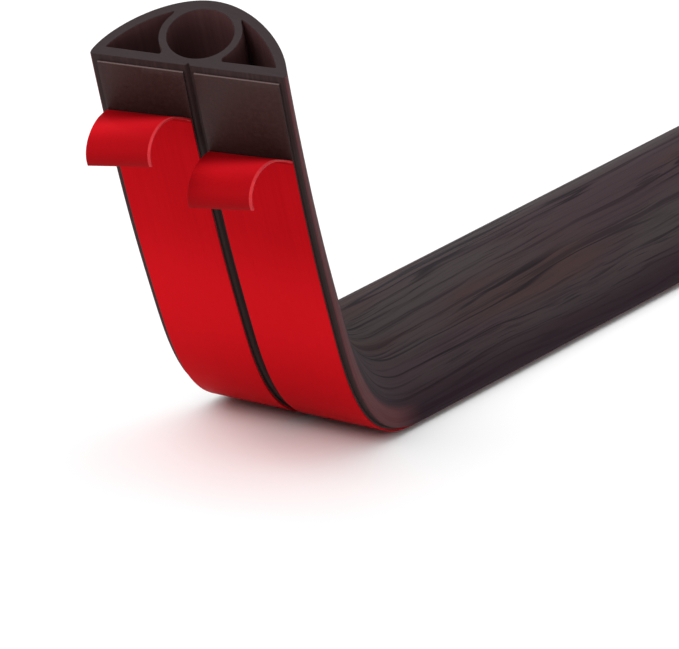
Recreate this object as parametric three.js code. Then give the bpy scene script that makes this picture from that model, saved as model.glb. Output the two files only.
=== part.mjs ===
// Floor cord cover: one length of soft PVC extrusion with a round cable bore and
// two side channels, its two self-adhesive tape strips and their two peel-off
// release liners. It lies on its long flat run, and its free end is curled up off
// the floor and slightly twisted, with the ends of both liners peeled back from
// the tape.
//
// Millimetres, +Z up. The flat run goes along +X and the curled end faces -X.
// The part stands on Z = 0 on its liners, with the middle of its footprint at the
// origin. "Left" is the +Y side, as seen from in front of the curled end.

import * as THREE from "three";

// ---------------------------------------------------------------- extrusion
const WIDTH = 50; // across the flat underside
const HEIGHT = 22.1; // underside to the top of the crown
const FOOT_HEIGHT = 1.0; // small upright foot along each long edge
const CROWN_SIDE_HANDLE = [1.9, 8.2]; // how steeply the crown leaves the foot (in, up)
const CROWN_TOP_HANDLE = 11.74; // how long the crown stays level at its top
const CROWN_STEPS = 12; // facets of half the crown

const BORE_RADIUS = 8.35; // round channel for the main cable
const BORE_CENTRE = 10.75; // its centre above the underside
const BORE_FACETS = 24;

const BASE_WALL = 2.6; // floor of the side channels, at its inner corner
const BASE_WALL_OUTER = 2.75; // and at its outer corner
const SHELL_WALL = 2.5; // crown wall over the side channels
const RING_WALL = 1.95; // wall between the bore and a side channel
const RING_FOOT = [7.8, 1.4]; // where that wall spreads into the floor (across, height of the spread)
const CHANNEL_SHELL_STEPS = 5;
const CHANNEL_RING_STEPS = 6;

const GROOVE_WIDTH = 1.3; // V groove along the middle of the underside
const GROOVE_DEPTH = 0.8;

// ------------------------------------------------------------ tape and liner
const CLEAR = 0.12; // between one layer and the next
const TAPE_THICK = 0.5;
const TAPE_INNER = 1.35; // inner edge of each strip, from the middle of the underside
const TAPE_OUTER = 23.3; // outer edge of each strip
const TAPE_SETBACK = 2.3; // strips start this far from the cover's end face
const LINER_THICK = 0.45;
const LINER_INNER = 1.4;
const LINER_OUTER = 23.25;
const LEFT_FOLD = 19.5; // where each liner leaves the tape, from the cover's end face
const RIGHT_FOLD = 29.8;
const PEEL_STEP = 0.25; // integration step of the peeled ends
// The peeled end of a liner rolls over outwards, along its edge nearest the right
// side of the cover: [distance from the fold, degrees of turn per mm].
const PEEL = [
  [0, 20],
  [1.7, 20],
  [2.2, 0.3],
  [9, 0.3],
  [14.6, 1.5],
  [19.8, 1.8],
  [24.4, 3],
  [28, 5.5],
  [30.9, 11],
  [33.2, 16],
  [35.3, 12],
  [37.4, 8],
  [38.4, 6],
];
const PEEL_TAPER = 0.64; // size of the roll at the strip's other edge
const PEEL_SKEW = 0.25; // how far that edge lags behind, for each mm peeled
const PEEL_STATIONS = [
  0, 0.4, 0.8, 1.2, 1.7, 2.2, 6, 10, 14, 18, 21, 24, 26, 28, 29.5, 31, 32, 33,
  34, 35, 36, 37, 38.4,
];

// --------------------------------------------------------------------- route
const LENGTH = 1000; // as sold, measured along the underside
// The curl of the free end: [distance from where it leaves the floor, bend in 1/mm].
const CURL = [
  [0, 0.01224],
  [25, 0.0185],
  [50, 0.01022],
  [75, 0.00032],
  [100, 0.00173],
  [130, 0.00101],
  [165, 0.00114],
];
const CURL_LENGTH = 167.25;
const CURL_STEP = 0.25; // integration step
const CURL_STATIONS = [
  0, 4, 8, 12, 16, 20, 24, 28, 32, 36, 40, 44, 48, 52, 57, 63, 70, 78, 86, 94,
  102, 110, 118, 126, 134, 142, 150, 158, 167.25,
];
// The curled end also twists about its own length, which lifts its right side.
const TWIST = 0.0007; // radians for each mm
const TWIST_FROM = 5; // the twist sets in here along the curl,
const TWIST_FULL = 25; // and is at its full rate from here

function lerpTable(table, s) {
  if (s <= table[0][0]) return table[0][1];
  for (let i = 1; i < table.length; i++) {
    const [s0, v0] = table[i - 1];
    const [s1, v1] = table[i];
    if (s <= s1) return v0 + ((v1 - v0) * (s - s0)) / (s1 - s0);
  }
  return table[table.length - 1][1];
}

// Samples of the curl, every CURL_STEP: position and angle of the underside.
const UNDERSIDE = CLEAR + TAPE_THICK + CLEAR + LINER_THICK; // height of the flat underside
const curl = [{ x: 0, z: UNDERSIDE, angle: 0 }];
for (let i = 0; i * CURL_STEP < CURL_LENGTH - 1e-9; i++) {
  const last = curl[i];
  const turn = lerpTable(CURL, (i + 0.5) * CURL_STEP) * CURL_STEP;
  const middle = last.angle + turn / 2;
  curl.push({
    x: last.x - Math.cos(middle) * CURL_STEP,
    z: last.z + Math.sin(middle) * CURL_STEP,
    angle: last.angle + turn,
  });
}

function twistAt(s) {
  const ease = TWIST_FULL - TWIST_FROM;
  if (s <= TWIST_FROM) return 0;
  if (s < TWIST_FULL) return (TWIST * (s - TWIST_FROM) ** 2) / (2 * ease);
  return TWIST * (s - TWIST_FROM - ease / 2);
}

// The underside at a distance s past the start of the curl (negative: on the
// flat run): the middle of its width, the direction towards the curled end, the
// direction towards the left edge, and the direction out of the crown.
function routeAt(s) {
  let p;
  if (s <= 0) p = { x: -s, z: UNDERSIDE, angle: 0 };
  else {
    const i = Math.min(Math.floor(s / CURL_STEP), curl.length - 2);
    const f = s / CURL_STEP - i;
    const [a, b] = [curl[i], curl[i + 1]];
    p = {
      x: a.x + (b.x - a.x) * f,
      z: a.z + (b.z - a.z) * f,
      angle: a.angle + (b.angle - a.angle) * f,
    };
  }
  const ahead = new THREE.Vector3(-Math.cos(p.angle), 0, Math.sin(p.angle));
  const left = new THREE.Vector3(0, 1, 0);
  const out = new THREE.Vector3(Math.sin(p.angle), 0, Math.cos(p.angle));
  left.applyAxisAngle(ahead, twistAt(s));
  out.applyAxisAngle(ahead, twistAt(s));
  return { middle: new THREE.Vector3(p.x, 0, p.z), ahead, left, out };
}

const FLAT = LENGTH - CURL_LENGTH;

// Stations from the far end of the flat run up to a distance s along the curl.
function stationsTo(s) {
  const list = [-FLAT, ...CURL_STATIONS.filter((v) => v < s - 0.8), s];
  return list.map(routeAt);
}

// An extrusion with one step for each station, each of its rings then placed at
// its station: across the section is to the right, up the section is out of the
// crown. A station of a peeled end also has roll(across), how far the film has
// rolled away from its root there.
function alongRoute(shape, stations) {
  const geometry = new THREE.ExtrudeGeometry(shape, {
    depth: stations.length - 1,
    steps: stations.length - 1,
    bevelEnabled: false,
  });
  const position = geometry.getAttribute("position");
  for (let i = 0; i < position.count; i++) {
    const across = position.getX(i);
    const at = stations[Math.round(position.getZ(i))];
    const up = position.getY(i) - (at.lift ?? 0);
    const place = at.middle
      .clone()
      .addScaledVector(at.left, -across)
      .addScaledVector(at.out, up);
    if (at.roll) place.add(at.roll(across));
    position.setXYZ(i, place.x, place.y, place.z);
  }
  geometry.deleteAttribute("uv");
  geometry.computeVertexNormals();
  return geometry;
}

// ------------------------------------------------------------------- section
// Half of the crown, from the top of the foot to the top of the crown.
const crown = new THREE.CubicBezierCurve(
  new THREE.Vector2(WIDTH / 2, FOOT_HEIGHT),
  new THREE.Vector2(
    WIDTH / 2 - CROWN_SIDE_HANDLE[0],
    FOOT_HEIGHT + CROWN_SIDE_HANDLE[1],
  ),
  new THREE.Vector2(CROWN_TOP_HANDLE, HEIGHT),
  new THREE.Vector2(0, HEIGHT),
);

function coverSection() {
  const right = crown.getSpacedPoints(CROWN_STEPS);
  const left = right
    .slice(0, -1)
    .reverse()
    .map((p) => new THREE.Vector2(-p.x, p.y));
  const outline = [
    new THREE.Vector2(-WIDTH / 2, 0),
    new THREE.Vector2(-GROOVE_WIDTH / 2, 0),
    new THREE.Vector2(0, GROOVE_DEPTH),
    new THREE.Vector2(GROOVE_WIDTH / 2, 0),
    new THREE.Vector2(WIDTH / 2, 0),
    ...right,
    ...left,
  ];
  const shape = new THREE.Shape(outline);

  const bore = [];
  for (let i = 0; i < BORE_FACETS; i++) {
    const a = (2 * Math.PI * (i + 0.5)) / BORE_FACETS;
    bore.push(
      new THREE.Vector2(
        BORE_RADIUS * Math.cos(a),
        BORE_CENTRE + BORE_RADIUS * Math.sin(a),
      ),
    );
  }
  shape.holes.push(new THREE.Path(bore));
  for (const side of [1, -1])
    shape.holes.push(new THREE.Path(channelOutline(side)));
  return shape;
}

// A side channel: flat floor, the inside of the crown, and the outside of the
// wall round the bore.
function channelOutline(side) {
  const ringRadius = BORE_RADIUS + RING_WALL;
  // the inside of the crown
  const inside = [];
  for (let i = 0; i <= 200; i++) {
    const p = crown.getPoint(i / 200);
    const t = crown.getTangent(i / 200);
    inside.push(
      new THREE.Vector2(p.x - t.y * SHELL_WALL, p.y + t.x * SHELL_WALL),
    );
  }
  const first = inside.findIndex((p) => p.y >= BASE_WALL_OUTER);
  const last = inside.findIndex(
    (p) => Math.hypot(p.x, p.y - BORE_CENTRE) <= ringRadius + 0.35,
  );
  const points = [];
  for (let i = 0; i <= CHANNEL_SHELL_STEPS; i++) {
    const k = Math.round(first + ((last - first) * i) / CHANNEL_SHELL_STEPS);
    points.push(inside[k].clone());
  }
  points[0].y = BASE_WALL_OUTER;
  // down the ring wall, from the top corner to the floor
  const top = points[points.length - 1];
  const a0 = Math.atan2(top.y - BORE_CENTRE, top.x);
  const a1 = -Math.asin((BORE_CENTRE - BASE_WALL - RING_FOOT[1]) / ringRadius);
  for (let i = 0; i <= CHANNEL_RING_STEPS; i++) {
    const a = a0 + ((a1 - a0) * i) / CHANNEL_RING_STEPS - (i ? 0 : 0.09);
    points.push(
      new THREE.Vector2(
        ringRadius * Math.cos(a),
        BORE_CENTRE + ringRadius * Math.sin(a),
      ),
    );
  }
  points.push(new THREE.Vector2(RING_FOOT[0], BASE_WALL));
  return points.map((p) => new THREE.Vector2(side * p.x, p.y));
}

function strip(side, inner, outer, low, high) {
  return new THREE.Shape([
    new THREE.Vector2(Math.min(side * inner, side * outer), low),
    new THREE.Vector2(Math.max(side * inner, side * outer), low),
    new THREE.Vector2(Math.max(side * inner, side * outer), high),
    new THREE.Vector2(Math.min(side * inner, side * outer), high),
  ]);
}

// ----------------------------------------------------------------- materials
const pvc = new THREE.MeshStandardMaterial({
  color: 0x3c3033,
  roughness: 0.55,
  metalness: 0,
});
const tack = new THREE.MeshStandardMaterial({
  color: 0x342220,
  roughness: 0.6,
  metalness: 0,
});
const film = new THREE.MeshStandardMaterial({
  color: 0xb4141c,
  roughness: 0.3,
  metalness: 0,
});

// --------------------------------------------------------------------- parts
function named(name, geometry, material) {
  const mesh = new THREE.Mesh(geometry, material);
  mesh.name = name;
  return mesh;
}

const cover = named(
  "cover_extrusion",
  alongRoute(coverSection(), stationsTo(CURL_LENGTH)),
  pvc,
);

function tape(name, side) {
  return named(
    name,
    alongRoute(
      strip(side, TAPE_INNER, TAPE_OUTER, -CLEAR - TAPE_THICK, -CLEAR),
      stationsTo(CURL_LENGTH - TAPE_SETBACK),
    ),
    tack,
  );
}

// A liner follows the tape to its fold, and its peeled end rolls over outwards.
function liner(name, side, fold) {
  const start = CURL_LENGTH - fold;
  const stations = stationsTo(start);
  const root = stations.pop();
  const drop = -CLEAR - TAPE_THICK - CLEAR; // the liner's inner face, below the underside
  // the peeled end, sampled in the frame of its fold
  const samples = [{ ahead: 0, away: 0, angle: 0 }];
  const length = PEEL[PEEL.length - 1][0];
  for (let i = 0; i * PEEL_STEP < length - 1e-9; i++) {
    const last = samples[i];
    const turn =
      (lerpTable(PEEL, (i + 0.5) * PEEL_STEP) * PEEL_STEP * Math.PI) / 180;
    const middle = last.angle + turn / 2;
    samples.push({
      ahead: last.ahead + Math.cos(middle) * PEEL_STEP,
      away: last.away + Math.sin(middle) * PEEL_STEP,
      angle: last.angle + turn,
    });
  }
  const base = root.middle.clone().addScaledVector(root.out, drop);
  // 0 at the strip's edge nearest the right side of the cover, 1 at its other edge
  const rightmost = side > 0 ? LINER_OUTER : -LINER_INNER;
  const share = (across) => (rightmost - across) / (LINER_OUTER - LINER_INNER);
  for (const s of PEEL_STATIONS) {
    const i = Math.min(Math.floor(s / PEEL_STEP), samples.length - 2);
    const f = s / PEEL_STEP - i;
    const mix = (key) =>
      samples[i][key] + (samples[i + 1][key] - samples[i][key]) * f;
    const [u, w, a] = [mix("ahead"), mix("away"), mix("angle")];
    stations.push({
      middle: base,
      left: root.left,
      lift: drop,
      out: root.out
        .clone()
        .multiplyScalar(Math.cos(a))
        .addScaledVector(root.ahead, Math.sin(a)),
      roll: (across) => {
        const t = share(across);
        const size = 1 + (PEEL_TAPER - 1) * t;
        return root.ahead
          .clone()
          .multiplyScalar(u * size - PEEL_SKEW * s * t)
          .addScaledVector(root.out, -w * size);
      },
    });
  }
  return named(
    name,
    alongRoute(
      strip(side, LINER_INNER, LINER_OUTER, drop - LINER_THICK, drop),
      stations,
    ),
    film,
  );
}

// Across the section is to the right, so the left (+Y) strip is the section's -1.
const group = new THREE.Group();
group.add(
  cover,
  tape("adhesive_tape_left", -1),
  tape("adhesive_tape_right", 1),
  liner("release_liner_left", -1, LEFT_FOLD),
  liner("release_liner_right", 1, RIGHT_FOLD),
);

// The middle of the footprint goes to the origin, the liners on Z = 0.
const box = new THREE.Box3().setFromObject(group);
for (const mesh of group.children)
  mesh.position.set(-(box.min.x + box.max.x) / 2, 0, -box.min.z);

export default group;
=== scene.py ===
"""Floor cord cover: one length of wood-grained soft PVC extrusion with a round
cable bore, two side channels and a groove under its middle, two strips of
self-adhesive tape under it and their two red release liners. It lies on a pale
floor, its free end curled up and slightly twisted, and the ends of both liners
peeled away and rolled over.

Sizes are in millimetres until a mesh is made. A section is (across, up): across
is -Y, up is out of the crown. s runs along the underside: 0 where the curl
leaves the floor, positive towards the curled end.
"""

import math

import bmesh
import bpy
import numpy as np
from mathutils import Matrix, Vector
from mathutils.geometry import delaunay_2d_cdt


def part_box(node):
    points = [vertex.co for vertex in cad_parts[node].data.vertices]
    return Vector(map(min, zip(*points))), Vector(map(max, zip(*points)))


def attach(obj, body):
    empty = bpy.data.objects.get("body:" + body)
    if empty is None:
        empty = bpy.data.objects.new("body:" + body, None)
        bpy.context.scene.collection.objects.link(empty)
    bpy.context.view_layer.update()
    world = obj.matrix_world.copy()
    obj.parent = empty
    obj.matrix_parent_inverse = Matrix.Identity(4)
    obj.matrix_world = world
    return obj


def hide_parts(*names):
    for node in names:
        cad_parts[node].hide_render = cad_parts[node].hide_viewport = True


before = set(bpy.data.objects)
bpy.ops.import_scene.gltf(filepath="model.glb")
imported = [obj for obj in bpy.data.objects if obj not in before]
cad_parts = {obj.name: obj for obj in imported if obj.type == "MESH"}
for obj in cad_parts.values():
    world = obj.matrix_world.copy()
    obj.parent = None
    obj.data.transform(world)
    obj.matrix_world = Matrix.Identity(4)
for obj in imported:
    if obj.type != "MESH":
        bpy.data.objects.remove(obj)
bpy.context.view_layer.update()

# ================================================================ sizes, in mm
WIDTH, HEIGHT, FOOT = 50.0, 22.1, 1.0
CROWN = np.array([(25.0, FOOT), (23.1, FOOT + 8.2), (11.74, HEIGHT), (0.0, HEIGHT)])
BORE_RADIUS, BORE_CENTRE = 8.35, 10.75
FLOOR_INNER, FLOOR_OUTER = 2.6, 2.75
SHELL_WALL, RING_WALL = 2.5, 1.95
RING_FOOT = (7.8, 1.4)
GROOVE_WIDTH, GROOVE_DEPTH = 1.3, 0.8
LENGTH, CURL_LENGTH = 1000.0, 167.25
FLAT = LENGTH - CURL_LENGTH
CURL = [(0, 0.01224), (25, 0.0185), (50, 0.01022), (75, 0.00032), (100, 0.00173), (130, 0.00101), (165, 0.00114)]
CURL_STEP = 0.25
TWIST, TWIST_FROM, TWIST_FULL = 0.0007, 5.0, 25.0
TAPE = dict(inner=1.35, outer=23.3, top=-0.02, bottom=-0.67, setback=2.3)
LINER = dict(inner=1.4, outer=23.25, top=-0.7, bottom=-1.18)
FOLDS = dict(left=19.5, right=29.8)
PEEL = [(0, 20), (1.7, 20), (2.2, 0.3), (9, 0.3), (14.6, 1.5), (19.8, 1.8), (24.4, 3), (28, 5.5), (30.9, 11), (33.2, 16), (35.3, 12), (37.4, 8), (38.4, 6)]
PEEL_STEP, PEEL_TAPER, PEEL_SKEW = 0.2, 0.64, 0.25
# width of a painted highlight: paler red over the right edge of each peeled end
RIM_HIGHLIGHT = 0.95  # pale rim along the right edge of each peeled end
CUT_EDGE = 0.12  # how much the knife rounds the edges of a cut end

cover_low, cover_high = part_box("cover_extrusion")
START_X = cover_high.x * 1000 - FLAT  # where the curl leaves the floor
UNDERSIDE = cover_low.z * 1000


# ====================================================================== route
def table(pairs, s):
    return np.interp(s, [p[0] for p in pairs], [p[1] for p in pairs])


def samples_of(pairs, step, length, turn_scale):
    """(distance, ahead, away, angle) of a curve whose bend is given along it."""
    n = int(round(length / step))
    turn = table(pairs, (np.arange(n) + 0.5) * step) * step * turn_scale
    angle = np.concatenate([[0.0], np.cumsum(turn)])
    middle = angle[:-1] + turn / 2
    ahead = np.concatenate([[0.0], np.cumsum(np.cos(middle) * step)])
    away = np.concatenate([[0.0], np.cumsum(np.sin(middle) * step)])
    return np.arange(n + 1) * step, ahead, away, angle


CURL_SAMPLES = samples_of(CURL, CURL_STEP, CURL_LENGTH, 1.0)
PEEL_SAMPLES = samples_of(PEEL, PEEL_STEP, PEEL[-1][0], math.pi / 180)


def twist(s):
    ease = TWIST_FULL - TWIST_FROM
    ramp = np.clip(s - TWIST_FROM, 0, ease)
    return TWIST * (ramp**2 / (2 * ease) + np.clip(s - TWIST_FULL, 0, None))


def frames(s):
    """For each s, each as (S, 3): the middle of the underside, the direction
    ahead, the direction towards the left edge and the one out of the crown."""
    s = np.atleast_1d(np.asarray(s, float))
    d, ahead, away, angle = CURL_SAMPLES
    p = np.clip(s, 0, None)
    x = START_X - np.where(s < 0, s, np.interp(p, d, ahead))
    z = UNDERSIDE + np.interp(p, d, away)
    a, t, zero = np.interp(p, d, angle), twist(s), np.zeros(len(s))
    level = np.stack([zero, zero + 1, zero], axis=1)
    upright = np.stack([np.sin(a), zero, np.cos(a)], axis=1)
    cos_t, sin_t = np.cos(t)[:, None], np.sin(t)[:, None]
    return (
        np.stack([x, zero, z], axis=1),
        np.stack([-np.cos(a), zero, np.sin(a)], axis=1),
        cos_t * level - sin_t * upright,
        cos_t * upright + sin_t * level,
    )


def placed(section, stations):
    """Section points, (K, 2) or one row of them for each station, in space: (S, K, 3)."""
    middle, _, left, out = frames(stations)
    section = np.broadcast_to(section, (len(middle), *section.shape[-2:]))
    return middle[:, None] - section[..., :1] * left[:, None] + section[..., 1:] * out[:, None]


# =================================================================== sections
def lengths(line):
    return np.concatenate([[0.0], np.cumsum(np.hypot(*np.diff(line, axis=0).T))])


def part_of(line, low, high):
    """The part of a polyline between two distances along it."""
    d = lengths(line)
    ends = np.stack([np.interp([low, high], d, line[:, k]) for k in (0, 1)], axis=1)
    inner = line[(d > low + 1e-6) & (d < high - 1e-6)]
    return np.vstack([ends[:1], inner, ends[1:]])


def chain(curves, rounds, steps=4):
    """One closed loop of polylines, the joint after each one rounded off over that distance."""
    cut = [
        part_of(c, rounds[k - 1], lengths(c)[-1] - rounds[k])
        for k, c in enumerate(curves)
    ]
    loop, starts = [], []
    for k, c in enumerate(cut):
        starts.append(sum(map(len, loop)))
        loop.append(c)
        after = (k + 1) % len(cut)
        corner = (curves[k][-1] + curves[after][0]) / 2
        t = (np.arange(1, steps) / steps)[:, None]
        loop.append((1 - t) ** 2 * c[-1] + 2 * t * (1 - t) * corner + t * t * cut[after][0])
    return np.vstack(loop), starts


def line(a, b, n=1):
    t = np.linspace(0, 1, n + 1)[:, None]
    return np.array(a, float) * (1 - t) + np.array(b, float) * t


def crown_point(t):
    t = np.asarray(t, float)[:, None]
    p = CROWN
    return (1 - t) ** 3 * p[0] + 3 * t * (1 - t) ** 2 * p[1] + 3 * t * t * (1 - t) * p[2] + t**3 * p[3]


def crown_tangent(t):
    t = np.asarray(t, float)[:, None]
    p = CROWN
    d = (1 - t) ** 2 * (p[1] - p[0]) + 2 * t * (1 - t) * (p[2] - p[1]) + t * t * (p[3] - p[2])
    return d / np.linalg.norm(d, axis=1)[:, None]


def evenly(curve, n):
    d = lengths(curve)
    at = np.linspace(0, d[-1], n + 1)
    return np.stack([np.interp(at, d, curve[:, k]) for k in (0, 1)], axis=1)


T = np.linspace(0, 1, 2001)
HALF_CROWN = crown_point(T)  # from the foot to the top, on the +across side
CROWN_SEGMENTS = 150


def mirrored(c):
    return (c * [-1, 1])[::-1]


def outer_section():
    half = evenly(HALF_CROWN, CROWN_SEGMENTS // 2)
    crown = np.vstack([half[:-1], mirrored(half)])
    right = [
        line((0, GROOVE_DEPTH), (GROOVE_WIDTH / 2, 0), 2),
        line((GROOVE_WIDTH / 2, 0), (WIDTH / 2, 0), 6),
        line((WIDTH / 2, 0), (WIDTH / 2, FOOT), 1),
    ]
    left = [mirrored(c) for c in right[::-1]]
    loop, starts = chain([*right, crown, *left], [0.22, 0.36, 0.28, 0.28, 0.36, 0.22, 0.1])
    return loop, starts[3], starts[4]


def channel_section(side):
    ring = BORE_RADIUS + RING_WALL
    tangent = crown_tangent(T)
    inside = HALF_CROWN + np.stack([-tangent[:, 1], tangent[:, 0]], axis=1) * SHELL_WALL
    first = np.argmax(inside[:, 1] >= FLOOR_OUTER)
    last = np.argmax(np.hypot(inside[:, 0], inside[:, 1] - BORE_CENTRE) <= ring + 0.35)
    shell = evenly(inside[first : last + 1], 26)
    shell[0, 1] = FLOOR_OUTER
    a0 = math.atan2(shell[-1, 1] - BORE_CENTRE, shell[-1, 0]) - 0.09
    a1 = -math.asin((BORE_CENTRE - FLOOR_INNER - RING_FOOT[1]) / ring)
    a = np.linspace(a0, a1, 23)
    wall = np.stack([ring * np.cos(a), BORE_CENTRE + ring * np.sin(a)], axis=1)
    spread = line(wall[-1], (RING_FOOT[0], FLOOR_INNER), 1)
    base = line(spread[-1], shell[0], 6)
    loop, _ = chain([shell, wall, spread, base], [0.3, 0.5, 0.5, 0.35])
    return loop if side > 0 else mirrored(loop)


def bore_section():
    a = np.arange(72) * 2 * math.pi / 72
    return np.stack([BORE_RADIUS * np.cos(a), BORE_CENTRE + BORE_RADIUS * np.sin(a)], axis=1)


def strip_section(side, inner, outer, top, bottom, soft, across=22):
    lo, hi = sorted((side * inner, side * outer))
    x = np.sort(np.append(np.linspace(lo, hi, across + 1), hi - RIM_HIGHLIGHT))[:, None] * [1, 0]
    loop, _ = chain(
        [
            x + [0, bottom],
            line((hi, bottom), (hi, top), 1),
            x[::-1] + [0, top],
            line((lo, top), (lo, bottom), 1),
        ],
        [soft] * 4,
        3,
    )
    return loop


def shifted(loop, by):
    """A closed loop with each point moved to its left, seen along the loop."""
    ahead = np.roll(loop, -1, axis=0) - loop
    ahead /= np.linalg.norm(ahead, axis=1)[:, None]
    mean = ahead + np.roll(ahead, 1, axis=0)
    mean /= np.linalg.norm(mean, axis=1)[:, None]
    return loop + by * np.stack([-mean[:, 1], mean[:, 0]], axis=1)


def area(loop):
    x, y = loop.T
    return 0.5 * np.sum(x * np.roll(y, -1) - y * np.roll(x, -1))


def within(p, loop):
    x, y = p
    a, b = loop, np.roll(loop, -1, axis=0)
    crosses = (a[:, 1] > y) != (b[:, 1] > y)
    at = a[:, 0] + (y - a[:, 1]) * (b[:, 0] - a[:, 0]) / np.where(crosses, b[:, 1] - a[:, 1], 1)
    return np.count_nonzero(crosses & (x < at)) % 2 == 1


# ===================================================================== relief
def lattice(u, v, seed):
    """Smooth noise from 0 to 1 with one value for each whole (u, v)."""
    values = np.random.default_rng(seed).random((257, 257))
    iu, iv = np.floor(u).astype(int), np.floor(v).astype(int)
    fu, fv = u - iu, v - iv
    fu, fv = fu * fu * (3 - 2 * fu), fv * fv * (3 - 2 * fv)
    a, b = values[iu % 257, iv % 257], values[(iu + 1) % 257, iv % 257]
    c, d = values[iu % 257, (iv + 1) % 257], values[(iu + 1) % 257, (iv + 1) % 257]
    return (a * (1 - fu) + b * fu) * (1 - fv) + (c * (1 - fu) + d * fu) * fv


def grain_depth(s, v):
    """How deep the embossed grain lies below the crown's smooth surface, in mm."""
    wander = 3.0 * lattice(s / 170 + 9, v / 30 + 40, 3) + 0.8 * lattice(s / 45 + 60, v / 9 + 20, 4)
    w = v + wander
    broad = lattice(s / 90 + 30, w / 2.6 + 70, 5)
    fine = lattice(s / 30 + 80, w / 1.15 + 90, 6)
    long = np.clip((broad - 0.55) / 0.35, 0, 1)
    short = np.clip((fine - 0.6) / 0.3, 0, 1)
    fade = 1 - 0.6 * np.clip((s + 20) / 40, 0, 1)
    return fade * (0.022 * long + 0.016 * short)


# ===================================================================== meshes
class Piece:
    """Collects the faces of one piece, with two UV maps: grain, in metres along
    and round the piece, and OFBake, a drawing of the unrolled surface."""

    def __init__(self, bands, sheet):
        self.co, self.faces, self.mats, self.grain, self.bake = [], [], [], [], []
        self.count, self.bands, self.sheet = 0, bands, sheet
        self.used = 0.0  # height of the drawing's first band so far

    def points(self, array):
        first = self.count
        flat = np.asarray(array, float).reshape(-1, 3)
        self.co.append(flat)
        self.count += len(flat)
        return first + np.arange(len(flat)).reshape(array.shape[:-1])

    def tube(self, index, s, v, mat, v0=0.0):
        """Quads between rings: index (S, K), s (S,), v (K + 1,) round the ring, mat a number or one for each of its K sides."""
        rings, sides = index.shape
        nxt = np.roll(index, -1, axis=1)
        quads = np.stack([index[:-1], nxt[:-1], nxt[1:], index[1:]], axis=2)
        s0, s1 = np.meshgrid(s[:-1], v[:-1], indexing="ij")[0], np.meshgrid(s[1:], v[:-1], indexing="ij")[0]
        v_a, v_b = np.broadcast_to(v[:-1], s0.shape), np.broadcast_to(v[1:], s0.shape)
        corners = np.stack(
            [np.stack([s0, v_a], 2), np.stack([s0, v_b], 2), np.stack([s1, v_b], 2), np.stack([s1, v_a], 2)], axis=2
        )
        self.faces.extend(quads.reshape(-1, 4).tolist())
        self.mats.extend(np.broadcast_to(mat, (rings - 1, sides)).ravel().tolist())
        self.grain.append(corners.reshape(-1, 2) / 1000)
        middle = (s[:-1] + s[1:]) / 2
        band = np.clip(np.searchsorted(self.bands, middle) - 1, 0, len(self.bands) - 2)
        start = np.array(self.bands)[band]
        drawn = corners.copy()
        drawn[..., 0] -= start[:, None, None]
        drawn[..., 1] += self.used + v0 - v[0] + band[:, None, None] * self.band_height
        self.bake.append(drawn.reshape(-1, 2))

    def cap(self, rings, loops, mat, corner):
        """Fills a cut end between closed loops, the first one the outline; corner is where its drawing goes."""
        flat = np.vstack(loops)
        ends = np.cumsum([0] + [len(l) for l in loops])
        index = np.concatenate(rings)
        edges = [
            (a + k, a + (k + 1) % (b - a)) for a, b in zip(ends[:-1], ends[1:]) for k in range(b - a)
        ]
        out = delaunay_2d_cdt([Vector(p) for p in flat], edges, [], 1, 1e-7)
        for f in out[2]:
            f = [out[3][k][0] for k in f]
            middle = flat[f].mean(axis=0)
            if not within(middle, loops[0]) or any(within(middle, l) for l in loops[1:]):
                continue
            self.faces.append(index[f].tolist())
            self.mats.append(mat)
            self.grain.append(flat[f] / 1000)
            self.bake.append(flat[f] + corner)

    def object(self, name, materials, smooth_angle=32):
        mesh = bpy.data.meshes.new(name)
        mesh.from_pydata((np.vstack(self.co) / 1000).tolist(), [], self.faces)
        for title, data, scale in (("grain", self.grain, 1.0), ("OFBake", self.bake, 1 / self.sheet)):
            layer = mesh.uv_layers.new(name=title)
            layer.data.foreach_set("uv", (np.vstack(data) * scale).astype(np.float32).ravel())
        for m in materials:
            mesh.materials.append(m)
        mesh.polygons.foreach_set("material_index", np.array(self.mats, np.int32))
        mesh.polygons.foreach_set("use_smooth", np.ones(len(self.faces), bool))
        work = bmesh.new()
        work.from_mesh(mesh)
        bmesh.ops.recalc_face_normals(work, faces=work.faces)
        if work.calc_volume(signed=True) < 0:
            bmesh.ops.reverse_faces(work, faces=work.faces)
        work.to_mesh(mesh)
        work.free()
        mesh.set_sharp_from_angle(angle=math.radians(smooth_angle))
        mesh.update()
        made = bpy.data.objects.new(name, mesh)
        bpy.context.scene.collection.objects.link(made)
        return made


def stations(*parts):
    return np.concatenate([[parts[0][0]]] + [np.linspace(a, b, n + 1)[1:] for a, b, n in parts])


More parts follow.
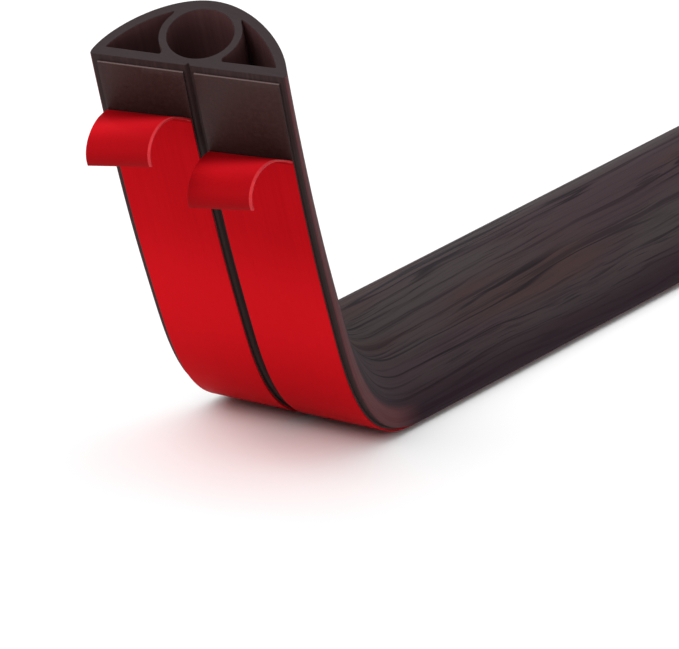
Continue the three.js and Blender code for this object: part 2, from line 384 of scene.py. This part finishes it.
def cover_piece(materials):
    WOOD, PLAIN, INSIDE, CUT = range(4)
    outer, crown_first, crown_last = outer_section()
    channels = [channel_section(1), channel_section(-1)]
    bore = bore_section()
    rounds = [lengths(np.vstack([l, l[:1]])) for l in (outer, bore, *channels)]
    piece = Piece([-FLAT, -FLAT + LENGTH / 2, CURL_LENGTH], 566.0)
    piece.band_height = sum(r[-1] for r in rounds) + 4 * 3.0
    split = -FLAT + LENGTH / 2
    near, far = CURL_LENGTH - CUT_EDGE, -FLAT + CUT_EDGE
    ends = {}
    for k, (loop, v) in enumerate(zip((outer, bore, *channels), rounds)):
        if k == 0:
            s = stations((far, split, 166), (split, 0, 113), (0, near, 100))
        else:
            s = stations((far, split, 1), (split, 0, 1), (0, near, 90))
        section = np.broadcast_to(loop, (len(s), *loop.shape)).copy()
        into = 1 if area(loop) > 0 else -1  # which way the material lies from the loop
        if k:
            into = -into
        if k == 0:
            top = (crown_first + crown_last) // 2
            v = v - v[np.argmax(loop[:, 1])]
            depth = grain_depth(s[:, None], v[None, :-1])
            depth *= np.clip((lengths(HALF_CROWN)[-1] - 0.8 - np.abs(v[:-1])) / 4, 0, 1)
            left = shifted(loop, 1.0) - loop
            section += into * depth[..., None] * left
        tube = piece.points(placed(section, s))
        if k == 0:
            n = np.arange(len(loop))
            mats = np.where((n >= crown_first - 8) & (n < crown_last + 5), WOOD, PLAIN)
        else:
            mats = INSIDE
        piece.tube(tube, s, v, mats)
        for end, row, at in (("far", 0, -FLAT), ("near", -1, CURL_LENGTH)):
            rim = shifted(section[row], into * CUT_EDGE)
            ring = piece.points(placed(rim, [at]))[0]
            pair = np.stack([ring, tube[row]]) if end == "far" else np.stack([tube[row], ring])
            ss = np.array([at, s[0]]) if end == "far" else np.array([s[-1], at])
            piece.tube(pair, ss, v, CUT)
            ends.setdefault(end, []).append((ring, rim))
        piece.used += v[-1] - v[0] + 3.0
    for k, end in enumerate(("near", "far")):
        rings, loops = zip(*ends[end])
        piece.cap(list(rings), list(loops), CUT, (504 + 30, 4 + 30 * k))
    return piece.object("cord_cover_wood_grain", materials)


def tape_piece(name, side, materials):
    FACE, EDGE, CUT = range(3)
    loop = strip_section(side, TAPE["inner"], TAPE["outer"], TAPE["top"], TAPE["bottom"], 0.12)
    v = lengths(np.vstack([loop, loop[:1]]))
    end = CURL_LENGTH - TAPE["setback"]
    bands = np.linspace(-FLAT, end, 5)
    piece = Piece(list(bands), 262.0)
    piece.band_height = v[-1] + 3
    cuts = sorted({*bands[:4].tolist(), 0.0})
    s = stations(*[(a, b, max(1, int((b - a) / 12))) for a, b in zip(cuts[:-1], cuts[1:])], (0, end - 0.06, 80))
    section = np.broadcast_to(loop, (len(s), *loop.shape)).copy()
    # the strip's edges wander a little, as cut tape does
    for row, at in enumerate(s):
        wave = 0.1 * (lattice(np.array(at / 26.0), np.array(side * 3.0 + 20), 11) - 0.5)
        section[row, :, 0] += wave * np.sign(loop[:, 0] - loop[:, 0].mean()) * (np.abs(loop[:, 0] - loop[:, 0].mean()) > 10)
    tube = piece.points(placed(section, s))
    middle = (loop + np.roll(loop, -1, axis=0)) / 2
    mats = np.where(np.abs(np.roll(loop, -1, axis=0)[:, 0] - loop[:, 0]) > 0.3, FACE, EDGE)
    piece.tube(tube, s, v, mats)
    rim = shifted(section[-1], 0.05)
    ring = piece.points(placed(rim, [end]))[0]
    piece.tube(np.stack([tube[-1], ring]), np.array([s[-1], end]), v, CUT)
    piece.cap([tube[0]], [section[0]], CUT, (12.5 if side > 0 else 36, 4 * piece.band_height + 6))
    piece.cap([ring], [rim], CUT, (62.5 if side > 0 else 86, 4 * piece.band_height + 6))
    return piece.object(name, materials, 40)


def liner_piece(name, side, fold, materials):
    FACE, EDGE, PEELED = range(3)
    loop = strip_section(side, LINER["inner"], LINER["outer"], LINER["top"], LINER["bottom"], 0.11, 26)
    v = lengths(np.vstack([loop, loop[:1]]))
    root = CURL_LENGTH - fold
    length = PEEL[-1][0]
    total_end = root + length
    bands = np.linspace(-FLAT, total_end, 5)
    piece = Piece(list(bands), 262.0)
    piece.band_height = v[-1] + 3
    cuts = sorted({*bands[:4].tolist(), 0.0})
    s = stations(*[(a, b, max(1, int((b - a) / 12))) for a, b in zip(cuts[:-1], cuts[1:])], (0, root, 75))
    flat = placed(loop, s)
    # the end that is peeled back
    middle, ahead, left, out = (k[0] for k in frames(root))
    drop = LINER["top"]
    base = middle + drop * out
    p = np.concatenate([np.linspace(0, 3, 16)[1:], np.linspace(3, 20, 24)[1:], np.linspace(20, length, 56)[1:]])
    d, u, w, turn = PEEL_SAMPLES
    u, w, turn = (np.interp(p, d, k) for k in (u, w, turn))
    right = LINER["outer"] if side > 0 else -LINER["inner"]
    t = (right - loop[:, 0]) / (LINER["outer"] - LINER["inner"])
    size = 1 + (PEEL_TAPER - 1) * t
    rolled = (
        base
        - loop[:, :1] * left
        + (u[:, None] * size - PEEL_SKEW * p[:, None] * t)[..., None] * ahead
        - (w[:, None] * size)[..., None] * out
        + (loop[:, 1] - drop)[None, :, None] * (np.cos(turn)[:, None] * out + np.sin(turn)[:, None] * ahead)[:, None]
    )
    tube = piece.points(np.concatenate([flat, rolled]))
    # the painted highlight: a pale band over the right edge of the peeled end, its cut edge included
    middle = (loop + np.roll(loop, -1, axis=0))[:, 0] / 2
    rim = middle > loop[:, 0].max() - RIM_HIGHLIGHT
    mats = np.zeros((len(s) + len(p) - 1, len(loop)), int)
    mats[len(s) - 1 :] = PEELED
    mats[len(s) + 4 :, rim] = EDGE
    rows = len(s)
    piece.tube(tube[:rows], s, v, mats[: rows - 1])
    # on the peeled end the grain map starts again, at 0 where it leaves the tape
    first = len(piece.grain)
    piece.tube(tube[rows - 1 :], np.concatenate([[root], root + p]), v, mats[rows - 1 :])
    for block in piece.grain[first:]:
        block[:, 0] -= root / 1000
    piece.cap([tube[0]], [loop], EDGE, (12.5 if side > 0 else 36, 4 * piece.band_height + 6))
    piece.cap([tube[-1]], [loop], EDGE, (62.5 if side > 0 else 86, 4 * piece.band_height + 6))
    return piece.object(name, materials, 40)


# ================================================================== materials
WOOD_PURPLE, WOOD_GREY, WOOD_RED = (62, 48, 52), (64, 56, 56), (66, 49, 48)
WOOD_FIBRE, WOOD_STREAK, WOOD_VEIN = (43, 34, 38), (38, 30, 35), (24, 18, 24)
# painted shade for the lower flanks of the print, and a painted highlight for the curl's lower flank
FLANK_PAINTED_SHADE, FLANK_PAINTED_HIGHLIGHT = (34, 15, 26), (88, 47, 50)
FILM_LOW, FILM_HIGH, FILM_CLOUD = (174, 15, 24), (182, 17, 26), (166, 13, 22)
# painted light on the film: a painted highlight up the curl; on the peeled ends painted shade near the tape, a
# painted highlight across the top of the roll and painted shade at the tip
FILM_BEND_HIGHLIGHT, FILM_TIP_SHADE, FILM_ROOT_SHADE, FILM_CREST_HIGHLIGHT = (199, 21, 30), (132, 8, 14), (144, 9, 16), (216, 26, 36)
FILM_TINT = (1.0, 0.05, 0.07, 1.0)


def linear(r, g, b):
    f = lambda c: c / 12.92 if c <= 0.04045 else ((c + 0.055) / 1.055) ** 2.4
    return tuple(f(c / 255) for c in (r, g, b)) + (1.0,)


class Shader:
    """A material made of nodes, written as calls."""

    def __init__(self, name, roughness=0.5, specular=0.3, **uniform):
        self.material = bpy.data.materials.new(name)
        self.material.use_nodes = True
        self.tree = self.material.node_tree
        self.tree.nodes.clear()
        self.out = self.tree.nodes.new("ShaderNodeOutputMaterial")
        self.bsdf = self.tree.nodes.new("ShaderNodeBsdfPrincipled")
        self.tree.links.new(self.bsdf.outputs[0], self.out.inputs["Surface"])
        self.bsdf.inputs["Roughness"].default_value = roughness
        self.bsdf.inputs["Specular IOR Level"].default_value = specular
        for k, value in uniform.items():
            self.bsdf.inputs[k].default_value = value
        uv = self.tree.nodes.new("ShaderNodeUVMap")
        uv.uv_map = "grain"
        self.uv = uv.outputs[0]

    def node(self, kind, values=(), out=0, **settings):
        n = self.tree.nodes.new(kind)
        for k, value in settings.items():
            setattr(n, k, value)
        for k, value in dict(values).items():
            if isinstance(value, bpy.types.NodeSocket):
                self.tree.links.new(value, n.inputs[k])
            else:
                n.inputs[k].default_value = value
        return n.outputs[out]

    def math(self, op, a, b=0.0, c=0.0):
        return self.node("ShaderNodeMath", {0: a, 1: b, 2: c}, operation=op)

    def smooth(self, value, low, high, to_low=0.0, to_high=1.0):
        return self.node(
            "ShaderNodeMapRange",
            {"Value": value, "From Min": low, "From Max": high, "To Min": to_low, "To Max": to_high},
            interpolation_type="SMOOTHSTEP",
        )

    def scaled(self, x, y, vector=None, shift=(0.0, 0.0, 0.0)):
        """The grain map times (x, y), each per metre, then moved."""
        return self.node(
            "ShaderNodeMapping", {"Vector": vector or self.uv, "Scale": (x, y, 1.0), "Location": shift}
        )

    def noise(self, vector, detail=2.0, roughness=0.5, distortion=0.0, scale=1.0):
        return self.node(
            "ShaderNodeTexNoise",
            {"Vector": vector, "Scale": scale, "Detail": detail, "Roughness": roughness, "Distortion": distortion},
        )

    def mix(self, factor, a, b, blend="MIX"):
        n = self.tree.nodes.new("ShaderNodeMix")
        n.data_type, n.blend_type = "RGBA", blend
        for k, value in ((0, factor), (6, a), (7, b)):
            if isinstance(value, bpy.types.NodeSocket):
                self.tree.links.new(value, n.inputs[k])
            else:
                n.inputs[k].default_value = value
        return n.outputs[2]

    def finish(self, colour, roughness=None, height=None, distance=0.0001, strength=1.0):
        self.tree.links.new(colour, self.bsdf.inputs["Base Color"])
        if roughness is not None:
            self.tree.links.new(roughness, self.bsdf.inputs["Roughness"])
        if height is not None:
            bump = self.node("ShaderNodeBump", {"Height": height, "Distance": distance, "Strength": strength})
            self.tree.links.new(bump, self.bsdf.inputs["Normal"])
        return self.material


def wood_grain():
    """Dark walnut print: wavy veins, soft streaks and short pores on a ground
    that drifts between grey brown and purple brown."""
    m = Shader("wood_grain_print", 0.62, 0.05)
    u = m.node("ShaderNodeSeparateXYZ", {0: m.uv})
    v = u.node.outputs[1]
    # the grain wanders slowly across the width
    slow = m.noise(m.scaled(3.2, 13, shift=(7.1, 2.3, 0)), 1.0)
    quick = m.noise(m.scaled(15, 55, shift=(1.7, 9.2, 0)), 2.0)
    lean = m.math("ADD", m.math("MULTIPLY", slow, 0.02), m.math("MULTIPLY", quick, 0.003))
    along = m.node("ShaderNodeCombineXYZ", {0: u, 1: m.math("ADD", v, lean), 2: 0.0})
    # thin veins where a slow field crosses its middle value, broken here and there
    field = m.noise(m.scaled(3.4, 125, along, (3.3, 0.6, 0)), 3.0, 0.45)
    vein = m.smooth(m.math("ABSOLUTE", m.math("SUBTRACT", field, 0.5)), 0.004, 0.024, 1.0, 0.0)
    presence = m.smooth(m.noise(m.scaled(5, 60, along, (11.3, 5.1, 0)), 1.0), 0.4, 0.54)
    vein = m.math("MULTIPLY", vein, presence)
    # dark streaks with frayed edges, fine fibres, and short pores in groups
    streak = m.smooth(m.noise(m.scaled(5, 340, along, (0.2, 7.7, 0)), 4.0, 0.66), 0.52, 0.63)
    fibre = m.smooth(m.noise(m.scaled(14, 820, along), 4.0, 0.7), 0.46, 0.64)
    pore = m.smooth(m.noise(m.scaled(30, 1050, along, (0.4, 4.4, 0)), 1.0, 0.5), 0.56, 0.64)
    group = m.smooth(m.noise(m.scaled(13, 80, along, (5.5, 8.8, 0)), 1.0), 0.48, 0.58)
    pore = m.math("MULTIPLY", pore, group)
    tone = m.noise(m.scaled(6, 48, along, (2.2, 1.1, 0)), 2.0)
    tone2 = m.noise(m.scaled(10, 80, along, (9.4, 3.7, 0)), 2.0)
    ground = m.mix(m.smooth(tone, 0.38, 0.62), linear(*WOOD_PURPLE), linear(*WOOD_GREY))
    ground = m.mix(m.smooth(tone2, 0.5, 0.7), ground, linear(*WOOD_RED))
    colour = m.mix(m.math("MULTIPLY", fibre, 0.45), ground, linear(*WOOD_FIBRE))
    colour = m.mix(m.math("MULTIPLY", streak, 0.62), colour, linear(*WOOD_STREAK))
    colour = m.mix(m.math("MULTIPLY", pore, 0.55), colour, linear(*WOOD_VEIN))
    colour = m.mix(m.math("MULTIPLY", vein, 0.85), colour, linear(*WOOD_VEIN))
    # painted shade darkens the print down both lower flanks; on the curl a reddish painted highlight lies along the
    # lower flank
    edge = m.math("ABSOLUTE", v)
    half = lengths(HALF_CROWN)[-1] / 1000
    # painted shade: the print darkens towards the foot on both flanks
    low = m.smooth(edge, half - 0.012, half - 0.001)
    colour = m.mix(m.math("MULTIPLY", low, 0.95), colour, linear(*FLANK_PAINTED_SHADE))
    # painted highlight: a reddish band along the lower flank, on the curl only
    flank_highlight = m.math("MULTIPLY", m.smooth(u, -0.004, 0.02), m.smooth(edge, half - 0.0052, half - 0.003))
    colour = m.mix(flank_highlight, colour, linear(*FLANK_PAINTED_HIGHLIGHT))
    rough = m.math("ADD", 0.58, m.math("MULTIPLY", streak, 0.12))
    height = m.math(
        "SUBTRACT",
        m.math("MULTIPLY", m.noise(m.scaled(60, 2300, along), 2.0), 0.25),
        m.math("ADD", m.math("MULTIPLY", fibre, 0.3), m.math("MULTIPLY", m.math("MAXIMUM", vein, pore), 0.7)),
    )
    return m.finish(colour, rough, height, 0.00005)


def plain_pvc():
    """Unprinted plastic under the cover: faint die lines and a dull bloom."""
    m = Shader("unprinted_brown_pvc", 0.6, 0.08)
    lines = m.noise(m.scaled(3, 1500), 3.0, 0.6)
    cloud = m.noise(m.scaled(40, 90, shift=(3, 4, 0)), 3.0)
    colour = m.mix(m.smooth(lines, 0.35, 0.7), linear(46, 34, 34), linear(56, 42, 42))
    colour = m.mix(m.math("MULTIPLY", m.smooth(cloud, 0.45, 0.75), 0.35), colour, linear(48, 40, 39))
    rough = m.smooth(cloud, 0.3, 0.8, 0.52, 0.68)
    return m.finish(colour, rough, lines, 0.00004)


def inside_pvc():
    """Walls of the bore and the side channels, with lines left by the die. Their brown is a paler copy of the
    cover's PVC: painted light in the hollows.
    """
    m = Shader("channel_walls_pvc_painted_light", 0.5, 0.25)
    lines = m.noise(m.scaled(3, 1100, shift=(5, 1, 0)), 3.0, 0.6)
    cloud = m.noise(m.scaled(30, 120, shift=(8, 2, 0)), 2.0)
    # painted light: these browns are lighter than the unprinted PVC of the same extrusion
    colour = m.mix(m.smooth(lines, 0.35, 0.7), linear(84, 53, 54), linear(93, 60, 60))
    colour = m.mix(m.math("MULTIPLY", cloud, 0.25), colour, linear(84, 62, 62))
    return m.finish(colour, m.smooth(cloud, 0.3, 0.8, 0.46, 0.6), lines, 0.00005)


def cut_pvc():
    """A sawn and trimmed end: fine strokes of the blade across the section."""
    m = Shader("cut_end_pvc", 0.65, 0.12)
    lean = m.node("ShaderNodeVectorRotate", {"Vector": m.uv, "Angle": 0.21}, rotation_type="Z_AXIS")
    strokes = m.noise(m.scaled(160, 2600, lean), 3.0, 0.6)
    speck = m.noise(m.scaled(1700, 1700, shift=(2, 6, 0)), 2.0)
    cloud = m.noise(m.scaled(90, 90, shift=(1, 5, 0)), 2.0)
    colour = m.mix(m.smooth(strokes, 0.35, 0.68), linear(48, 40, 41), linear(55, 46, 47))
    colour = m.mix(m.math("MULTIPLY", m.smooth(speck, 0.6, 0.75), 0.3), colour, linear(44, 37, 38))
    colour = m.mix(m.math("MULTIPLY", cloud, 0.3), colour, linear(53, 43, 44))
    height = m.math("ADD", m.math("MULTIPLY", strokes, 0.8), m.math("MULTIPLY", speck, 0.3))
    return m.finish(colour, m.smooth(strokes, 0.3, 0.7, 0.58, 0.72), height, 0.00005)


def tape_face():
    """Tacky adhesive: a fine web with small dimples where the liner came off."""
    m = Shader("adhesive_face", 0.5, 0.15)
    web = m.noise(m.scaled(900, 900), 3.0, 0.6)
    pull = m.noise(m.scaled(60, 700, shift=(4, 2, 0)), 2.0)
    cells = m.node("ShaderNodeTexVoronoi", {"Vector": m.scaled(620, 620), "Scale": 1.0, "Randomness": 1.0})
    colour = m.mix(m.smooth(web, 0.35, 0.7), linear(50, 33, 31), linear(58, 39, 37))
    colour = m.mix(m.math("MULTIPLY", m.smooth(pull, 0.5, 0.75), 0.4), colour, linear(48, 36, 33))
    dimple = m.smooth(cells, 0.05, 0.3)
    rough = m.math("ADD", m.smooth(web, 0.3, 0.75, 0.46, 0.6), m.math("MULTIPLY", dimple, 0.05))
    height = m.math("ADD", m.math("MULTIPLY", web, 0.6), m.math("MULTIPLY", dimple, 0.5))
    return m.finish(colour, rough, height, 0.00003)


def tape_edge():
    m = Shader("adhesive_tape_edge", 0.7, 0.2)
    grit = m.noise(m.scaled(1400, 1400, shift=(2, 2, 0)), 3.0, 0.6)
    colour = m.mix(m.smooth(grit, 0.35, 0.7), linear(44, 30, 30), linear(54, 39, 38))
    return m.finish(colour, m.smooth(grit, 0.3, 0.7, 0.62, 0.78), grit, 0.00005)


def tape_cut():
    """Pale foam core where the tape is cut across, between two dark layers of glue."""
    m = Shader("adhesive_tape_core", 0.8, 0.25)
    up = m.node("ShaderNodeSeparateXYZ", {0: m.uv}, 1)
    glue = m.math("MAXIMUM", m.smooth(up, -0.00018, -0.00013), m.smooth(up, -0.00062, -0.00058, 1.0, 0.0))
    cells = m.node("ShaderNodeTexVoronoi", {"Vector": m.scaled(5200, 5200), "Scale": 1.0})
    grit = m.noise(m.scaled(1800, 1800, shift=(6, 3, 0)), 2.0)
    colour = m.mix(m.smooth(cells, 0.1, 0.6), linear(118, 99, 97), linear(102, 84, 82))
    colour = m.mix(m.math("MULTIPLY", grit, 0.3), colour, linear(88, 71, 70))
    colour = m.mix(glue, colour, linear(50, 34, 32))
    return m.finish(colour, m.smooth(grit, 0.3, 0.7, 0.72, 0.86), cells, 0.00008)


def liner_face(name, peeled):
    """Glossy red release film with fine calender lines and a faint ripple, and painted light:
    a painted highlight band up the curl; on a peeled end painted shade near the tape, a painted highlight across the
    top of the roll and painted shade deepening towards its tip."""
    m = Shader(name, 0.36, 0.004, **{"Metallic": 0.14 if peeled else 0.2, "Specular Tint": FILM_TINT})
    u = m.node("ShaderNodeSeparateXYZ", {0: m.uv})
    lines = m.noise(m.scaled(5, 2400), 3.0, 0.6)
    cloud = m.noise(m.scaled(22, 40, shift=(3, 8, 0)), 3.0)
    ripple = m.noise(m.scaled(70, 28, shift=(6, 1, 0)), 1.0)
    colour = m.mix(m.smooth(lines, 0.3, 0.75), linear(*FILM_LOW), linear(*FILM_HIGH))
    colour = m.mix(m.math("MULTIPLY", m.smooth(cloud, 0.4, 0.75), 0.4), colour, linear(*FILM_CLOUD))
    if peeled:
        # painted shade: darker near where the end leaves the tape
        root = m.smooth(u, 0.009, 0.02, 0.85, 0.0)
        colour = m.mix(root, colour, linear(*FILM_ROOT_SHADE))
        # painted highlight: a paler band across the top of the roll
        crest_highlight = m.math("MULTIPLY", m.smooth(u, 0.016, 0.0225), m.smooth(u, 0.0235, 0.031, 1.0, 0.0))
        colour = m.mix(m.math("MULTIPLY", crest_highlight, 0.45), colour, linear(*FILM_CREST_HIGHLIGHT))
        # painted shade: darker towards the tip of the roll
        colour = m.mix(m.math("MULTIPLY", m.smooth(u, 0.021, 0.0395), 0.9), colour, linear(*FILM_TIP_SHADE))
    else:
        # painted highlight: a paler band where the film runs up the curl
        bend_highlight = m.math("MULTIPLY", m.smooth(u, 0.04, 0.075), m.smooth(u, 0.08, 0.115, 1.0, 0.0))
        colour = m.mix(m.math("MULTIPLY", bend_highlight, 0.75), colour, linear(*FILM_BEND_HIGHLIGHT))
    rough = m.smooth(lines, 0.3, 0.75, 0.32, 0.4)
    height = m.math("ADD", m.math("MULTIPLY", lines, 0.05), m.math("MULTIPLY", ripple, 0.95))
    return m.finish(colour, rough, height, 0.0001)


def liner_edge_highlight():
    m = Shader("red_film_cut_edge_painted_highlight", 0.5, 0.02, **{"Specular Tint": FILM_TINT})
    grit = m.noise(m.scaled(900, 3000, shift=(1, 3, 0)), 2.0, 0.6)
    # painted highlight: the film's cut edges, and the band over a peeled end's right edge, are a paler pinker red
    # than its face
    colour = m.mix(m.smooth(grit, 0.35, 0.7), linear(178, 42, 47), linear(188, 50, 56))
    return m.finish(colour, m.smooth(grit, 0.3, 0.7, 0.42, 0.56), grit, 0.00004)


wood, plain, inside, cut = wood_grain(), plain_pvc(), inside_pvc(), cut_pvc()
face, side_edge, core = tape_face(), tape_edge(), tape_cut()
film, film_edge_highlight = liner_face("red_release_film", False), liner_edge_highlight()
film_end = liner_face("red_release_film_peeled_end", True)

# ===================================================================== pieces
cover = cover_piece([wood, plain, inside, cut])
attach(cover, "root")
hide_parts("cover_extrusion")

for name, side in (("left", -1), ("right", 1)):
    tape = tape_piece("adhesive_strip_" + name, side, [face, side_edge, core])
    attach(tape, "root")
    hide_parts("adhesive_tape_" + name)
    liner = liner_piece("red_liner_" + name, side, FOLDS[name], [film, film_edge_highlight, film_end])
    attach(liner, "root")
    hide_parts("release_liner_" + name)

# ====================================================================== stage
scene = bpy.context.scene


def pale_floor():
    mesh = bpy.data.meshes.new("floor")
    r = 60.0
    mesh.from_pydata([(-r, -r, 0), (r, -r, 0), (r, r, 0), (-r, r, 0)], [], [(0, 1, 2, 3)])
    floor = bpy.data.objects.new("floor", mesh)
    floor.location.z = -0.0001
    scene.collection.objects.link(floor)
    m = bpy.data.materials.new("pale_floor")
    m.use_nodes = True
    bsdf = m.node_tree.nodes["Principled BSDF"]
    bsdf.inputs["Base Color"].default_value = (0.95, 0.95, 0.95, 1)
    bsdf.inputs["Roughness"].default_value = 0.9
    bsdf.inputs["Specular IOR Level"].default_value = 0.0
    mesh.materials.append(m)


def sun(name, towards, strength, angle, colour=(1, 1, 1)):
    """A soft sun that shines from the direction `towards`, seen from the object."""
    data = bpy.data.lights.new(name, "SUN")
    data.energy, data.angle, data.color = strength, math.radians(angle), colour
    lamp = bpy.data.objects.new(name, data)
    lamp.rotation_mode = "QUATERNION"
    lamp.rotation_quaternion = Vector(towards).to_track_quat("Z", "Y")
    scene.collection.objects.link(lamp)


pale_floor()
world = bpy.data.worlds.new("studio")
scene.world = world
world.use_nodes = True
world.node_tree.nodes["Background"].inputs["Color"].default_value = (1, 1, 1, 1)
world.node_tree.nodes["Background"].inputs["Strength"].default_value = 0.44
sun("key", (-0.5, 0.35, 1.0), 1.3, 60)
sun("front", (-0.8, 0.1, 0.62), 1.75, 36)
sun("fill", (0.7, -0.6, 0.8), 0.35, 70)

# The camera: yaw from +Y towards +X, pitch down, roll; a very long lens.
yaw, pitch, roll = 1.1938479, 0.2668971, 0.1124135
forward = Vector((math.sin(yaw) * math.cos(pitch), math.cos(yaw) * math.cos(pitch), -math.sin(pitch)))
right0 = Vector((math.cos(yaw), -math.sin(yaw), 0))
up0 = right0.cross(forward)
right = math.cos(roll) * right0 + math.sin(roll) * up0
up = -math.sin(roll) * right0 + math.cos(roll) * up0
data = bpy.data.cameras.new("camera")
data.sensor_width, data.lens = 36.0, 16000 * 36 / 679
data.clip_start, data.clip_end = 0.05, 200
camera = bpy.data.objects.new("camera", data)
camera.matrix_world = Matrix(
    [
        (right.x, up.x, -forward.x, (START_X - 3586.436) / 1000),
        (right.y, up.y, -forward.y, -1.420238),
        (right.z, up.z, -forward.z, (UNDERSIDE + 1074.812) / 1000),
        (0, 0, 0, 1),
    ]
)
scene.collection.objects.link(camera)
scene.camera = camera
scene.view_settings.view_transform = "Standard"

bpy.context.view_layer.update()
